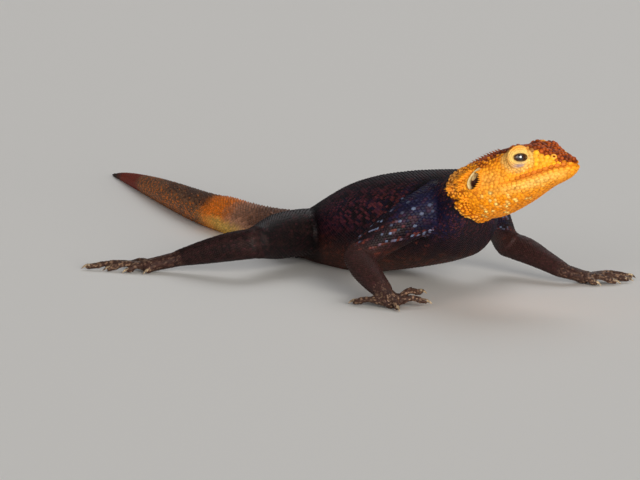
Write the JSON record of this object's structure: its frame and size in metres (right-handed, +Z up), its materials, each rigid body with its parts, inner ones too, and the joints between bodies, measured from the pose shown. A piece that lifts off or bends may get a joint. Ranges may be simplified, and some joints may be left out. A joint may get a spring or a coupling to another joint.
{
  "type": "namibian rock agama lizard model",
  "caption": "Life-size still model of an adult male Namibian rock agama lizard, resting flat with its chest raised on bent arms, head turned and tail laid out behind.",
  "frame": {"origin": "middle of the footprint on the floor that the lizard rests on", "axes": "+X forward along the trunk, towards the head; +Y to the animal's left; +Z up"},
  "size_m": [0.295, 0.1332, 0.0435],
  "materials": {
    "hood_skin": "fine beaded and keeled scales, satin",
    "neck_skin": "overlapping keeled scales, satin",
    "body_skin": "overlapping keeled scales with a dark bluish gloss",
    "tail_base_skin": "keeled scales in rings, satin",
    "tail_skin": "keeled scales in rings, satin",
    "tail_end_skin": "keeled scales in rings, satin",
    "limb_skin": "overlapping keeled scales, satin",
    "digit_skin": "small plates under smooth horn claws",
    "eye": "wet, glossy"
  },
  "bodies": {
    "root": {"head": "hood_skin", "neck": "neck_skin", "chest": "body_skin", "belly": "body_skin", "tail_1": "tail_base_skin", "tail_2": "tail_skin", "tail_3": "tail_skin", "tail_4": "tail_end_skin", "tail_5": "tail_end_skin", "eye_left": "eye", "eye_right": "eye", "upper_arm_left": "limb_skin", "forearm_left": "limb_skin", "hand_left": "digit_skin", "thigh_left": "limb_skin", "shank_left": "limb_skin", "foot_left": "digit_skin", "upper_arm_right": "limb_skin", "forearm_right": "limb_skin", "hand_right": "digit_skin", "thigh_right": "limb_skin", "shank_right": "limb_skin", "foot_right": "digit_skin"}
  },
  "joints": []
}
